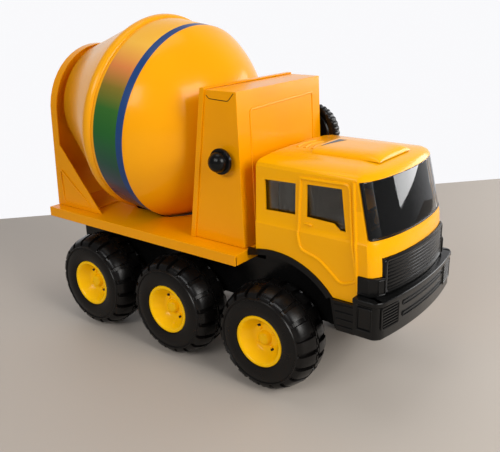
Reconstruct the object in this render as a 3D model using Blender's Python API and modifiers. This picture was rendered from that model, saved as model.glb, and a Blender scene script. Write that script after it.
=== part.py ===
"""Toy concrete mixer truck in pressed steel and moulded plastic, with three axles.

Frame: +X is forward, +Y is the truck's left, +Z is up, and z = 0 is the floor.
Lengths below are in millimetres, with x counted forward from the front axle.
The empty "truck" carries them into the part's frame, whose origin is under the middle.
"""

import math

import bmesh
import bpy
from mathutils import Matrix, Vector

# ---------------------------------------------------------------- driving dimensions
MM = 0.001
GAP = 0.3            # between pieces that touch
SHEET = 1.2          # pressed steel
MOULDED = 2.0        # moulded plastic wall

BED_REAR, BED_FRONT = -298.5, -29.1
BED_TOP, BED_RAIL_DROP, BED_HALF = 127.7, 10.6, 87.0
BUMPER_NOSE, NECK_REAR = 119.0, -301.5
MIDDLE = (NECK_REAR + BUMPER_NOSE) / 2

AXLES = {"front": 0.0, "middle": -115.8, "rear": -231.6}
TYRE_R, AXLE_R, SLEEVE_R = 52.0, 2.5, 6.0
TRACK_HALF = 73.0    # centre of a tyre's width
SIDES = {"right": -1, "left": 1}

CHASSIS_HALF, CHASSIS_LOW, CHASSIS_TOP = 46.0, 66.0, 112.0
HANGER_LOW, HANGER_HALF = 45.0, 10.0    # blocks under the chassis that hold the axles

ARCH_R = 81.6        # lower edge of the cab over the front wheel
CAB_REAR, CAB_LOW, BELT, ROOF_EDGE = -19.3, 104.0, 158.0, 210.0
FRONT_BOW = 17.0     # how far the cab's front bulges past its corners
SCREEN_LOW, SCREEN_TOP = 162.0, 208.5
GRILLE_HALF, GRILLE_TOP, LAMP_TOP = 58.5, 146.0, 130.0
BUMPER_LOW, BUMPER_TOP, BUMPER_HALF = 78.0, 113.0, 77.0

HOUSING_HALF, HOUSING_TOP = 67.9, 271.8
HOUSING_FOOT = (-97.0, -32.8)
HOUSING_ROOF = (-77.9, -38.8)
CRANK_X, CRANK_Z, CRANK_R = -52.4, 210.0, 3.0

DRUM_TILT = math.radians(8)
DRUM_Z = 208.3       # height of the drum's axis above and below the crank
DRUM_BAND = 99.4     # along that axis, from there to the front of the cylindrical band
DRUM_R, BAND_REAR_R, RIB_R, NECK_R, NOSE = 102.4, 103.0, 106.0, 44.0, 60.0
DRUM_WALL = 1.5
SEAM, CONE_END, CONE_R = 44.0, 139.0, 61.0

ARCH_Z, BRACKET_R, BRACKET_FOOT_HALF = 231.0, 71.0, 74.0

YELLOW = (0.95, 0.45, 0.01)
AMBER = (0.90, 0.36, 0.015)
BLACK = (0.012, 0.012, 0.013)

# ---------------------------------------------------------------- scene and helpers
for old in list(bpy.data.objects):
    bpy.data.objects.remove(old, do_unlink=True)
pieces = bpy.data.collections.new("concrete_mixer_truck")
cutters = bpy.data.collections.new("cutters")
for group in (pieces, cutters):
    bpy.context.scene.collection.children.link(group)
truck = bpy.data.objects.new("truck", None)
truck.location = (-MIDDLE * MM, 0, 0)
pieces.objects.link(truck)

PLANES = {
    "xy": Matrix.Identity(3),
    "xz": Matrix(((1, 0, 0), (0, 0, -1), (0, 1, 0))),
    "yz": Matrix(((0, 0, 1), (1, 0, 0), (0, 1, 0))),
}


def material(name, colour, roughness, metallic=0.0, alpha=1.0):
    made = bpy.data.materials.new(name)
    made.use_nodes = True
    shader = made.node_tree.nodes["Principled BSDF"]
    shader.inputs["Base Color"].default_value = (*colour, 1)
    shader.inputs["Roughness"].default_value = roughness
    shader.inputs["Metallic"].default_value = metallic
    shader.inputs["Alpha"].default_value = alpha
    return made


def place(name, mesh, finish, carrier=truck):
    """A named piece, carried by the truck or by a joint's empty."""
    obj = bpy.data.objects.new(name, mesh)
    pieces.objects.link(obj)
    obj.parent = carrier
    mesh.materials.clear()
    mesh.materials.append(finish)
    return obj


def tool(mesh):
    """A hidden shape that a Boolean reads."""
    obj = bpy.data.objects.new("tool", mesh)
    cutters.objects.link(obj)
    obj.parent = truck
    obj.hide_render = True
    obj.display_type = "WIRE"
    return obj


def combine(obj, operation, *meshes):
    for mesh in meshes:
        modifier = obj.modifiers.new(operation.lower(), "BOOLEAN")
        modifier.operation = operation
        modifier.object = tool(mesh)


def mesh_of(shape, name="shape"):
    mesh = bpy.data.meshes.new(name)
    if shape.calc_volume(signed=True) < 0:
        bmesh.ops.reverse_faces(shape, faces=shape.faces)
    shape.to_mesh(mesh)
    shape.free()
    return mesh


def block(low, high):
    shape = bmesh.new()
    bmesh.ops.create_cube(shape, size=1)
    for vert in shape.verts:
        for i in range(3):
            vert.co[i] = (high[i] if vert.co[i] > 0 else low[i]) * MM
    return mesh_of(shape)


def rod(radius, low, high, x, z, steps=24):
    """A cylinder along Y from low to high."""
    shape = bmesh.new()
    bmesh.ops.create_cone(
        shape, cap_ends=True, segments=steps, radius1=radius * MM,
        radius2=radius * MM, depth=(high - low) * MM,
    )
    turn = Matrix.Rotation(math.pi / 2, 4, "X")
    shift = Matrix.Translation(Vector((x, (low + high) / 2, z)) * MM)
    shape.transform(shift @ turn)
    return mesh_of(shape)


def slab(points, plane, low, high):
    """A flat outline in the named plane, from low to high along the plane's normal."""
    curve = bpy.data.curves.new("outline", "CURVE")
    curve.dimensions = "2D"
    curve.fill_mode = "BOTH"
    curve.extrude = abs(high - low) / 2 * MM
    spline = curve.splines.new("POLY")
    spline.points.add(len(points) - 1)
    for point, (u, v) in zip(spline.points, points):
        point.co = (u * MM, v * MM, 0, 1)
    spline.use_cyclic_u = True
    guide = bpy.data.objects.new("outline", curve)
    cutters.objects.link(guide)
    bpy.context.view_layer.update()
    graph = bpy.context.evaluated_depsgraph_get()
    mesh = bpy.data.meshes.new_from_object(guide.evaluated_get(graph))
    bpy.data.objects.remove(guide, do_unlink=True)
    shape = bmesh.new()
    shape.from_mesh(mesh)
    bmesh.ops.remove_doubles(shape, verts=shape.verts, dist=1e-6)
    middle = (low + high) / 2 * MM
    if plane == "xz":
        middle = -middle
    shape.transform(PLANES[plane].to_4x4() @ Matrix.Translation((0, 0, middle)))
    return mesh_of(shape, "slab")


def arc(x, z, radius, start, end, count):
    """Points along a circle, from one angle in degrees to another."""
    angles = (math.radians(start + (end - start) * i / count) for i in range(count + 1))
    return [(x + radius * math.cos(a), z + radius * math.sin(a)) for a in angles]


def mirrored(points):
    """A half outline on the minus side, closed by its mirror image on the plus side."""
    return points + [(u, -v) for u, v in reversed(points) if v != 0]


def turned(name, profile, carrier, finish, steps=32, hollow=False):
    """A profile of (radius, height) turned about the carrier's Z axis."""
    mesh = bpy.data.meshes.new(name)
    edges = [(i, i + 1) for i in range(len(profile) - 1)]
    if not hollow and profile[0][0] > 0:
        edges.append((len(profile) - 1, 0))
    mesh.from_pydata([(r * MM, 0, h * MM) for r, h in profile], edges, [])
    obj = place(name, mesh, finish, carrier)
    screw = obj.modifiers.new("turn", "SCREW")
    screw.steps = screw.render_steps = steps
    screw.use_merge_vertices = True
    screw.merge_threshold = 1e-5
    screw.use_smooth_shade = True
    return obj


def wall(obj, thickness, offset=-1):
    solidify = obj.modifiers.new("wall", "SOLIDIFY")
    solidify.thickness = thickness * MM
    solidify.offset = offset
    solidify.use_even_offset = True


def joint_empty(name, x, y, z, rotation):
    empty = bpy.data.objects.new(name, None)
    empty.location = Vector((x, y, z)) * MM
    empty.rotation_euler = rotation
    empty.parent = truck
    pieces.objects.link(empty)
    return empty


cab_yellow = material("cab_yellow", YELLOW, 0.25)
steel_yellow = material("steel_yellow", AMBER, 0.22)
drum_amber = material("drum_amber", AMBER, 0.22)
rim_yellow = material("rim_yellow", YELLOW, 0.35)
black_plastic = material("black_plastic", BLACK, 0.4)
tyre_black = material("tyre_black", BLACK, 0.35)
clear_plastic = material("clear_plastic", (0.8, 0.82, 0.8), 0.05, alpha=0.3)
axle_steel = material("axle_steel", (0.6, 0.6, 0.6), 0.3, 1.0)

# ---------------------------------------------------------------- chassis and axles
RISERS = ((BED_REAR + 30, -236), (-128, BED_FRONT - 4))  # carry the bed behind and ahead of the drum
SLEEVE_END = 60.4

tray = bmesh.new()
bmesh.ops.create_cube(tray, size=1)
for corner in tray.verts:
    corner.co.x = (84 if corner.co.x > 0 else BED_REAR + 8) * MM
    corner.co.y *= 2 * CHASSIS_HALF * MM
    corner.co.z = (CHASSIS_TOP if corner.co.z > 0 else CHASSIS_LOW) * MM
bmesh.ops.delete(tray, geom=[f for f in tray.faces if f.normal.z < -0.5], context="FACES")
chassis = place("chassis_frame", mesh_of(tray), black_plastic)
wall(chassis, MOULDED)
deck_under = BED_TOP - SHEET - GAP
for rear, front in RISERS:
    combine(chassis, "UNION", block((rear, -40, CHASSIS_TOP - 1), (front, 40, deck_under)))
for x in AXLES.values():
    combine(chassis, "UNION", block((x - HANGER_HALF, -CHASSIS_HALF + 1, HANGER_LOW),
                                    (x + HANGER_HALF, CHASSIS_HALF - 1, CHASSIS_LOW + 3)))
    combine(chassis, "UNION", rod(SLEEVE_R, -SLEEVE_END, SLEEVE_END, x, TYRE_R, 16))
for x in AXLES.values():
    combine(chassis, "DIFFERENCE", rod(AXLE_R + GAP, -80, 80, x, TYRE_R, 16))

AXLE_HALF = 83.4
for where, x in AXLES.items():
    place(f"axle_{where}", rod(AXLE_R, -AXLE_HALF, AXLE_HALF, x, TYRE_R, 16), axle_steel)

# ---------------------------------------------------------------- wheels
# heights run outward from the tyre's middle plane
TYRE_PROFILE = [
    (25.8, 19.9), (37, 20.8), (45.5, 19.0), (50.4, 9), (TYRE_R, 0.8),
    (TYRE_R, -0.8), (51.0, -10), (48.0, -19), (38, -20), (25.8, -17.5),
]
RIM_PROFILE = [
    (0, 13.2), (5.6, 13.2), (6.8, 8.6), (13.0, 7.8), (20.6, 17.2),
    (22.2, 19.9), (24.6, 19.8), (25.4, 18.6), (25.4, -18.0), (23.6, -18.0),
    (23.6, 14.0), (14.5, 5.6), (6.6, 5.6), (5.6, -11.9), (AXLE_R + GAP, -11.9),
    (AXLE_R + GAP, 10.9), (0, 10.9),
]
for where, x in AXLES.items():
    for side, sign in SIDES.items():
        # local Z points out of the truck
        hub = joint_empty(f"hub_{where}_{side}", x, sign * TRACK_HALF, TYRE_R,
                          (-sign * math.pi / 2, 0, 0))
        turned(f"tyre_{where}_{side}", TYRE_PROFILE, hub, tyre_black, 28)
        turned(f"rim_{where}_{side}", RIM_PROFILE, hub, rim_yellow, 20)

# ---------------------------------------------------------------- bed
# the drum hangs a little through the deck; this opening clears it by 3 mm
DRUM_WELL = [(-144, 18), (-150, 28), (-158, 37), (-166, 40), (-176, 38), (-190, 33), (-210, 34),
             (-219, 29), (-224, 18)]
CORNER_SLIT = 1.5

bed = place("bed_deck", block((BED_REAR, -BED_HALF, BED_TOP - BED_RAIL_DROP),
                              (BED_FRONT, BED_HALF, BED_TOP)), steel_yellow)
combine(bed, "DIFFERENCE", block(
    (BED_REAR + SHEET, -BED_HALF + SHEET, 100),
    (BED_FRONT - SHEET, BED_HALF - SHEET, BED_TOP - SHEET),
))
combine(bed, "DIFFERENCE", slab(
    DRUM_WELL + [(x, -y) for x, y in DRUM_WELL[::-1]], "xy", 110, 140))
for x in (BED_REAR, BED_FRONT):
    for sign in SIDES.values():
        y = sign * (BED_HALF - SHEET - CORNER_SLIT / 2)
        inward = SHEET + 1 if x == BED_REAR else -SHEET - 1
        combine(bed, "DIFFERENCE", block(
            (min(x - inward, x + inward), y - CORNER_SLIT / 2, 100),
            (max(x - inward, x + inward), y + CORNER_SLIT / 2, BED_TOP - SHEET - 1),
        ))

# ---------------------------------------------------------------- rear bracket
DECK = BED_TOP + GAP
FLANGE, GUSSET_Z, GUSSET_FOOT, FOOT_PLATE = 10.0, 197.0, -226.0, -246.0


def bracket_outline(inset, foot):
    """Arch of the bracket seen from behind, smaller by inset, with its foot at a height."""
    radius = BRACKET_R - inset
    half = BRACKET_FOOT_HALF - inset
    return [(-half, foot)] + arc(0, ARCH_Z, radius, 180, 0, 24) + [(half, foot)]


bracket = place("drum_bracket", slab(
    bracket_outline(0, DECK), "yz", BED_REAR, GUSSET_FOOT), steel_yellow)
combine(bracket, "INTERSECT", slab(
    [(BED_REAR - 2, DECK - 1), (GUSSET_FOOT + 1, DECK - 1), (GUSSET_FOOT - 1, DECK + SHEET),
     (BED_REAR + FLANGE, GUSSET_Z), (BED_REAR + FLANGE, 330), (BED_REAR - 2, 330)],
    "xz", -90, 90))
combine(bracket, "DIFFERENCE", slab(
    bracket_outline(SHEET, DECK + SHEET), "yz", BED_REAR + SHEET, -150))
combine(bracket, "DIFFERENCE", block((FOOT_PLATE, -72.6, DECK - 5), (-150, 72.6, DECK + 5)))


def on_drum_axis(s):
    """Point of the drum's axis, s behind the front of its band."""
    along = DRUM_BAND + s
    return (CRANK_X - along * math.cos(DRUM_TILT), 0, DRUM_Z + along * math.sin(DRUM_TILT))


NECK_CLEARANCE = 2.5
neck_end = (CRANK_X - BED_REAR) / math.cos(DRUM_TILT) - DRUM_BAND
neck_hole = bmesh.new()
bmesh.ops.create_cone(
    neck_hole, cap_ends=True, segments=40, radius1=(NECK_R + NECK_CLEARANCE) * MM,
    radius2=(NECK_R + NECK_CLEARANCE) * MM, depth=30 * MM,
)
neck_hole.transform(
    Matrix.Translation(Vector((BED_REAR, 0, on_drum_axis(neck_end)[2])) * MM)
    @ Matrix.Rotation(math.pi / 2, 4, "Y"))
combine(bracket, "DIFFERENCE", mesh_of(neck_hole))

# ---------------------------------------------------------------- drive housing


def housing_rear(z):
    """x of the housing's rear face at a height."""
    up = (z - DECK) / (HOUSING_TOP - DECK)
    return HOUSING_FOOT[0] + (HOUSING_ROOF[0] - HOUSING_FOOT[0]) * up


hood = bmesh.new()
bmesh.ops.create_cube(hood, size=1)
for corner in hood.verts:
    ends = HOUSING_ROOF if corner.co.z > 0 else HOUSING_FOOT
    corner.co = Vector((
        ends[1] if corner.co.x > 0 else ends[0],
        HOUSING_HALF * (1 if corner.co.y > 0 else -1),
        HOUSING_TOP if corner.co.z > 0 else DECK,
    )) * MM
bmesh.ops.delete(
    hood, geom=[f for f in hood.faces if f.normal.z < -0.5 or f.normal.x < -0.5],
    context="FACES")
housing = place("drum_housing", mesh_of(hood), steel_yellow)
wall(housing, SHEET)
combine(housing, "DIFFERENCE", rod(CRANK_R + 0.8, -90, 90, CRANK_X, CRANK_Z, 16))

LIP = 4.0


def rear_strip(behind, ahead, foot, top):
    """Side view of a strip along the housing's rear face."""
    return [(housing_rear(foot) - behind, foot), (housing_rear(foot) + ahead, foot),
            (housing_rear(top) + ahead, top), (housing_rear(top) - behind, top)]


plate_half = HOUSING_HALF + GAP + SHEET
plate = place("housing_back_plate", slab(
    rear_strip(GAP + SHEET, LIP, DECK, HOUSING_TOP + GAP + SHEET), "xz",
    -plate_half, plate_half), steel_yellow)
combine(plate, "DIFFERENCE", slab(
    rear_strip(GAP, 3 * LIP, DECK - 5, HOUSING_TOP + GAP), "xz",
    -plate_half + SHEET, plate_half - SHEET))
SPINDLE_R = 5.0
spindle_hole = bmesh.new()
bmesh.ops.create_cone(
    spindle_hole, cap_ends=True, segments=20, radius1=(SPINDLE_R + 1) * MM,
    radius2=(SPINDLE_R + 1) * MM, depth=40 * MM,
)
spindle_hole.transform(
    Matrix.Translation(Vector(on_drum_axis(-66.0)) * MM)
    @ Matrix.Rotation(math.pi / 2 + DRUM_TILT, 4, "Y"))
combine(plate, "DIFFERENCE", mesh_of(spindle_hole))

# ---------------------------------------------------------------- drum
# local Z runs along the drum's axis, rearward and up, from the front of the band
drum_empty = joint_empty("drum_axis", *on_drum_axis(0), (0, DRUM_TILT - math.pi / 2, 0))


def dome(s):
    """Radius of the rounded front, s ahead of the band."""
    return DRUM_R * (1 - (s / NOSE) ** 1.09) ** 0.35


nose_steps = [1, 0.985, 0.94, 0.87, 0.77, 0.64, 0.5, 0.36, 0.22, 0.1, 0]
front_profile = [(dome(NOSE * u) if u < 1 else 0, -NOSE * u) for u in nose_steps]
front_profile += [(BAND_REAR_R, SEAM - GAP)]
bowl = turned("drum_front_bowl", front_profile[::-1], drum_empty, drum_amber, 40, hollow=True)
wall(bowl, DRUM_WALL)

RIB_MIDDLE, RIB_HALF = 50.0, 5.5
rib = [(RIB_R - (RIB_R - BAND_REAR_R) * (1 - math.cos(a)), RIB_MIDDLE + RIB_HALF * math.sin(a))
       for a in (math.pi / 2 * k / 3 for k in range(-3, 4))]
neck_stop = (CRANK_X - NECK_REAR - NECK_R * math.sin(DRUM_TILT)) / math.cos(DRUM_TILT) - DRUM_BAND
rear_profile = [(BAND_REAR_R, SEAM)] + rib + [(CONE_R, CONE_END), (NECK_R, CONE_END + 2),
                                              (NECK_R, neck_stop)]
cone = turned("drum_rear_cone", rear_profile[::-1], drum_empty, drum_amber, 40, hollow=True)
wall(cone, DRUM_WALL)

turned("drum_spindle", [
    (0, -NOSE - GAP), (14, -NOSE - GAP), (14, -NOSE - GAP - 1), (SPINDLE_R, -NOSE - GAP - 1),
    (SPINDLE_R, -DRUM_BAND + 15), (0, -DRUM_BAND + 15),
], drum_empty, axle_steel, 20)

# ---------------------------------------------------------------- hand crank through the housing
KNOB_BACK = HOUSING_HALF + GAP + SHEET
WHEEL_R, WHEEL_BACK, WHEEL_FRONT = 31.7, 74.0, 84.0

crank = joint_empty("crank_axis", CRANK_X, 0, CRANK_Z, (math.pi / 2, 0, 0))  # local Z is right
place("cross_shaft", rod(CRANK_R, -KNOB_BACK + GAP, KNOB_BACK - GAP, 0, 0, 20),
      axle_steel, crank).rotation_euler = (-math.pi / 2, 0, 0)
turned("turning_knob", [
    (0, 87.4), (4.5, 86.2), (8.0, 83.0), (9.3, 78.8), (9.3, 77.2), (11.2, 77.2), (12.0, 76.4),
    (12.0, 73.6), (6.0, 73.2), (6.0, KNOB_BACK), (0, KNOB_BACK),
], crank, black_plastic)
turned("hand_wheel", [
    (0, -KNOB_BACK), (9, -KNOB_BACK), (9, -WHEEL_BACK - 1), (24, -WHEEL_BACK - 1),
    (26, -WHEEL_BACK), (30.2, -WHEEL_BACK), (WHEEL_R, -WHEEL_BACK - 1.5),
    (WHEEL_R, -WHEEL_FRONT + 1.5), (30.2, -WHEEL_FRONT), (26, -WHEEL_FRONT),
    (24, -WHEEL_BACK - 4), (10, -WHEEL_BACK - 4), (8, -WHEEL_BACK - 7), (0, -WHEEL_BACK - 7),
], crank, black_plastic)

# ---------------------------------------------------------------- cab shell
# height, half width, x of the front corners, how much of the front bow is left, rear inset
CAB_SECTIONS = [
    (CAB_LOW, 68.4, 96.0, 1.0, 0), (140, 68.4, 94.6, 1.0, 0), (BELT - 1, 68.4, 93.0, 1.0, 0),
    (BELT + 1, 67.4, 92.4, 1.0, 0), (185, 67.0, 86.9, 0.94, 0), (ROOF_EDGE - 1, 66.4, 81.6, 0.88, 0),
    (ROOF_EDGE + 2, 65.2, 80.0, 0.86, 0.4), (ROOF_EDGE + 4.4, 61.0, 77.0, 0.8, 0.9),
    (ROOF_EDGE + 6.6, 45.0, 70.0, 0.66, 1.6), (ROOF_EDGE + 7.6, 24.0, 58.0, 0.5, 2.4),
]
BOW_STEPS = 14


def cab_front(half, corner, bow, steps, reach=90.0, inset=0.0):
    """Plan of the cab's bulging front: part of an ellipse from right to left."""
    found = []
    for i in range(steps + 1):
        a = math.radians(-reach + 2 * reach * i / steps)
        found.append((corner + (FRONT_BOW * bow - inset) * math.cos(a),
                      (half - inset) * math.sin(a)))
    return found


def loft(rings, closed=True, capped=True):
    """Faces between rings of equally many points, from the lowest ring up."""
    shape = bmesh.new()
    rows = [[shape.verts.new(Vector(p) * MM) for p in ring] for ring in rings]
    count = len(rings[0])
    for low, high in zip(rows, rows[1:]):
        for i in range(count if closed else count - 1):
            j = (i + 1) % count
            shape.faces.new((low[i], low[j], high[j], high[i]))
    if capped:
        shape.faces.new(rows[-1])
    return shape


rings = []
for z, half, corner, bow, inset in CAB_SECTIONS:
    plan = [(CAB_REAR + inset, -half)] + cab_front(half, corner, bow, BOW_STEPS)
    rings.append([(x, y, z) for x, y in plan + [(CAB_REAR + inset, half)]])
cab_mesh = loft(rings)
bmesh.ops.recalc_face_normals(cab_mesh, faces=cab_mesh.faces)
cab = place("cab_shell", mesh_of(cab_mesh), cab_yellow)
if cab.data.polygons[0].normal.y > 0:
    cab.data.flip_normals()
wall(cab, MOULDED)

HATCH = [(17, -22), (22, -28), (70, -28), (76, -21)]
combine(cab, "UNION", slab(mirrored(HATCH), "xy", 215.2, 220.0))

QUARTER_WINDOW = [(-10, 198), (23, 199), (23, 171), (-9, 170)]
DOOR_WINDOW = [(34, 200), (68, 201), (73, 165), (67, 165), (61, 170), (34, 171)]
for outline in (QUARTER_WINDOW, DOOR_WINDOW):
    combine(cab, "DIFFERENCE", slab(outline, "xz", -90, 90))
combine(cab, "DIFFERENCE", slab(
    [(82.9, SCREEN_TOP), (93.0, SCREEN_LOW), (140, SCREEN_LOW), (140, SCREEN_TOP)],
    "xz", -90, 90))
combine(cab, "DIFFERENCE", rod(ARCH_R, -90, 90, 0, TYRE_R, 64))
combine(cab, "DIFFERENCE", block((-60, -90, 90), (30, 90, 120)))
combine(cab, "DIFFERENCE", block((86, -90, 90), (140, 90, LAMP_TOP)))
combine(cab, "DIFFERENCE", block((88, -GRILLE_HALF - GAP, 90), (140, GRILLE_HALF + GAP, GRILLE_TOP)))

# ---------------------------------------------------------------- glazing
screen_rings = []
for z, half, corner, bow in ((SCREEN_LOW + 3 * GAP, 67.3, 91.7, 1.0), (185, 67.0, 86.9, 0.94),
                             (SCREEN_TOP - GAP, 66.4, 81.7, 0.88)):
    screen_rings.append([(x, y, z) for x, y in cab_front(half, corner, bow, 20, 80)])
screen_mesh = loft(screen_rings, closed=False, capped=False)
screen = place("windscreen", mesh_of(screen_mesh), clear_plastic)
if screen.data.polygons[0].normal.x < 0:
    screen.data.flip_normals()
wall(screen, 1.5)

GLAZING = [(-15, 166), (-15, 204), (73, 204), (78, 164), (64, 162)]
for side, sign in SIDES.items():
    place(f"side_glazing_{side}", slab(GLAZING, "xz", *sorted((sign * 62.4, sign * 63.6))),
          clear_plastic)

# ---------------------------------------------------------------- inside the cab
FLOOR = 128.0
base = bmesh.new()
bmesh.ops.create_cube(base, size=1)
for corner in base.verts:
    corner.co.x = (82 if corner.co.x > 0 else CAB_REAR - 5) * MM
    corner.co.y *= 2 * 47.0 * MM
    corner.co.z = (FLOOR if corner.co.z > 0 else CHASSIS_TOP + GAP) * MM
bmesh.ops.delete(base, geom=[f for f in base.faces if f.normal.z < -0.5], context="FACES")
wall(place("cab_floor", mesh_of(base), black_plastic), MOULDED)

seat_z = FLOOR + GAP
seats = place("seat_unit", slab(
    [(-10, seat_z), (40, seat_z), (42, 148), (8, 146), (-2, 190), (-9, 190)], "xz", -46.8, 46.8),
    black_plastic)
combine(seats, "DIFFERENCE", block((-20, -7, 140), (60, 7, 200)))
place("dashboard", slab(
    [(64, seat_z), (88, seat_z), (89, 152), (80, 158), (68, 152)], "xz", -54, 54),
    black_plastic)
steering = place("steering_wheel", rod(2.5, 0, 14, 0, 0, 12), black_plastic)
wheel_disc = tool(rod(12.5, -2, 1, 0, 0, 24))
for turned_piece in (steering, wheel_disc):
    turned_piece.rotation_euler = (math.radians(-55), 0, math.radians(-90))
    turned_piece.location = Vector((57, 30, 161)) * MM
rim_join = steering.modifiers.new("disc", "BOOLEAN")
rim_join.operation = "UNION"
rim_join.object = wheel_disc

# ---------------------------------------------------------------- black front mouldings
FENDER_OUT, FENDER_IN = 69.5, 47.3
LINER_R = ARCH_R - GAP
fender = (arc(0, TYRE_R, LINER_R, 104, 39.5, 16) + [(68.0, 76.0), (65.8, 76.0)]
          + arc(0, TYRE_R, LINER_R - 2.2, 39.5, 104, 16))
LIP_R, LIP_TAIL, LIP_DEEP = 75.8, -27.8, 2.6    # the rim of the arch runs on behind the cab
fender_lip = (arc(0, TYRE_R, LINER_R, 103.5, 41, 14) + arc(0, TYRE_R, LIP_R, 41, 103.5, 14)
              + [(LIP_TAIL, 123.4), (LIP_TAIL, 130.9)])
step = [(68.4, 76), (86.0, 76), (86.0, 103.6), (63.6, 103.6)]
for side, sign in SIDES.items():
    span = sorted((sign * FENDER_OUT, sign * FENDER_IN))
    liner = place(f"fender_{side}", slab(fender, "xz", *span), black_plastic)
    combine(liner, "UNION", slab(fender_lip, "xz", *sorted(
        (sign * FENDER_OUT, sign * (FENDER_OUT - LIP_DEEP)))))
    place(f"side_step_{side}", slab(step, "xz", *sorted((sign * 72.0, sign * FENDER_IN))),
          black_plastic)

LAMP_LOW = BUMPER_TOP + GAP
for side, sign in SIDES.items():
    lamp = [(86.3, 69.6), (97.5, 69.6), (103.2, 65.5), (106.6, GRILLE_HALF + GAP),
            (86.3, GRILLE_HALF + GAP)]
    place(f"headlight_{side}", slab([(x, sign * y) for x, y in lamp], "xy",
                                    LAMP_LOW, LAMP_TOP - GAP), black_plastic)

grille_plan = [(90, -GRILLE_HALF)] + [
    (x, y) for x, y in cab_front(68.4, 95.8, 1.0, 16, 59)] + [(90, GRILLE_HALF)]
place("front_grille", slab(grille_plan, "xy", LAMP_LOW, GRILLE_TOP - GAP), black_plastic)


def bumper_plan(inset):
    """Bumper seen from above: square sides, rounded corners and a bowed front."""
    half = BUMPER_HALF - inset
    nose = BUMPER_NOSE - inset
    bow = [(nose - 8.5 * (y / 77) ** 2, y) for y in range(-70, 1, 10)]
    return mirrored([(86.4, -half), (106 - inset, -half), (109.4 - inset, -half + 2.2)] + bow)


bumper = place("front_bumper", slab(bumper_plan(0), "xy", BUMPER_LOW, BUMPER_TOP), black_plastic)
inner = [(x if x > 87 else 80, y) for x, y in bumper_plan(2.5)]
combine(bumper, "DIFFERENCE", slab(inner, "xy", BUMPER_LOW - 5, BUMPER_TOP - 2.5))
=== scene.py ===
"""Looks of a toy concrete mixer truck in pressed steel and moulded plastic.

The truck points along +X, its left is +Y and it stands on z = 0.
"""

import math

import bmesh
import bpy
import numpy as np
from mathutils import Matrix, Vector


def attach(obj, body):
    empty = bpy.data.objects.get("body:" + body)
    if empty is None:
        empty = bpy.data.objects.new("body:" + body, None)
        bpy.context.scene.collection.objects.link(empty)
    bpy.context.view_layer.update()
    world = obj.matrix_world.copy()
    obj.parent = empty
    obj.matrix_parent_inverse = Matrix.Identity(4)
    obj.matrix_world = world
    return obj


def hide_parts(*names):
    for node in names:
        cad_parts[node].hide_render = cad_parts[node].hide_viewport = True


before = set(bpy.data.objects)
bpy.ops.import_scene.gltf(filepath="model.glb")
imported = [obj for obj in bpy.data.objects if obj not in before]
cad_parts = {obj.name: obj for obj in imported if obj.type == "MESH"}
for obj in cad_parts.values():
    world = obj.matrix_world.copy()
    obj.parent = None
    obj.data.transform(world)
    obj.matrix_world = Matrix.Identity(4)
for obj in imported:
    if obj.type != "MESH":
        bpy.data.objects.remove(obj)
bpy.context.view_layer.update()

# ------------------------------------------------------------------ stage
# A pale table top stands under a soft sky, which is bright behind the truck, and four lamps.
# The camera looks down a little at the right front corner of the truck.
MM = 0.001
AXLE_X = 91.25          # the front axle, ahead of the middle of the truck
TABLE = [(-1.53, -1.04), (-1.53, -3), (3.5, -3), (3.5, 1.87), (0.97, 1.87)]    # outline in metres
TABLE_DROP = 0.2 * MM   # how far the table lies below the tyres
CAMERA_TURN, CAMERA_DROP, CAMERA_ROLL = math.radians(37.84), math.radians(19.1), math.radians(-1.25)
SKY_FAR = (-0.61, 0.79, 0)      # the way behind the truck

table = bpy.data.meshes.new("table_top")
table.from_pydata([(x, y, -TABLE_DROP) for x, y in TABLE], [], [range(len(TABLE))])
floor = bpy.data.objects.new("table_top", table)
bpy.context.scene.collection.objects.link(floor)
pale = bpy.data.materials.new("table_pale")
pale.use_nodes = True
table_shader = pale.node_tree.nodes["Principled BSDF"]
table_shader.inputs["Base Color"].default_value = (0.46, 0.41, 0.36, 1)
table_shader.inputs["Roughness"].default_value = 0.6
floor.data.materials.append(pale)

camera = bpy.data.objects.new("camera", bpy.data.cameras.new("camera"))
camera.data.sensor_width = 36
camera.data.lens = 48.9
camera.data.clip_start = 0.01
camera.location = (0.42466, -0.5307, 0.35455)
ahead = Vector((-math.sin(CAMERA_TURN) * math.cos(CAMERA_DROP),
                math.cos(CAMERA_TURN) * math.cos(CAMERA_DROP), -math.sin(CAMERA_DROP)))
camera.rotation_euler = ahead.to_track_quat("-Z", "Y").to_euler()
camera.rotation_euler.rotate_axis("Z", CAMERA_ROLL)
bpy.context.scene.collection.objects.link(camera)
bpy.context.scene.camera = camera
bpy.context.scene.view_settings.view_transform = "Standard"


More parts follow.
